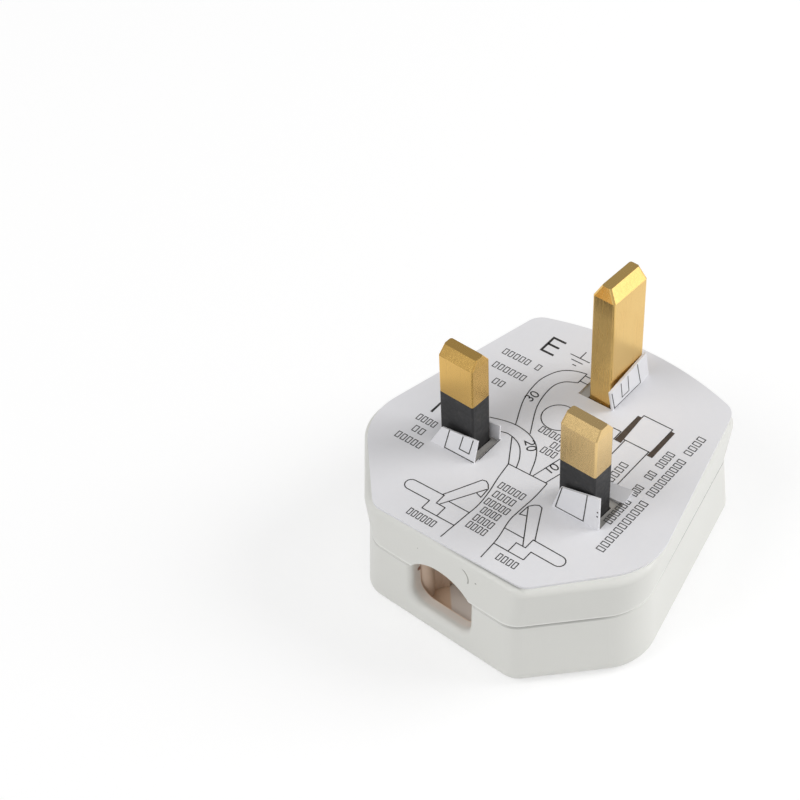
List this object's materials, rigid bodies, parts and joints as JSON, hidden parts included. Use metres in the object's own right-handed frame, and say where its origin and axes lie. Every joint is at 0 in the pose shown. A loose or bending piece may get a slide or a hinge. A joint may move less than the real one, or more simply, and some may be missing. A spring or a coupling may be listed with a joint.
{
  "type": "uk three pin plug",
  "caption": "Rewirable fused mains plug: waisted pale moulded shell, flat brass pins with dark sleeves on the current pins, arched cord entry, printed wiring card over the pins.",
  "frame": {"origin": "on the rear face, at the middle of the outline", "axes": "+Z from the rear face towards the pin tips, +Y from the cord entry towards the earth pin, +X from the line pin towards the neutral pin"},
  "size_m": [0.0512, 0.0523, 0.0427],
  "materials": {
    "shell": "satin off-white moulding",
    "pin_brass": "satin, drawn",
    "clip_brass": "pressed sheet and turned",
    "sleeve": "satin black moulding",
    "fuse_ceramic": "unglazed",
    "plated_metal": "bright plated",
    "screw_steel": "plated, slotted",
    "retainer": "red fibre washer",
    "grip": "natural moulding",
    "card": "smooth white card with dark line print",
    "label": "red film"
  },
  "bodies": {
    "root": {"cover": "shell", "base": "shell", "earth_pin": "pin_brass", "neutral_pin": "pin_brass", "line_pin": "pin_brass", "line_pin_sleeve": "sleeve", "neutral_pin_sleeve": "sleeve", "front_fuse_clip": "clip_brass", "rear_fuse_clip": "clip_brass", "line_terminal": "pin_brass", "fuse_barrel": "fuse_ceramic", "fuse_end_caps": "plated_metal", "terminal_screws": "screw_steel", "cover_screw": "screw_steel", "screw_retainer": "retainer", "cover_insert": "clip_brass", "cord_grip_left": "grip", "cord_grip_right": "grip", "wiring_card": "card", "rating_label": "label"}
  },
  "joints": []
}
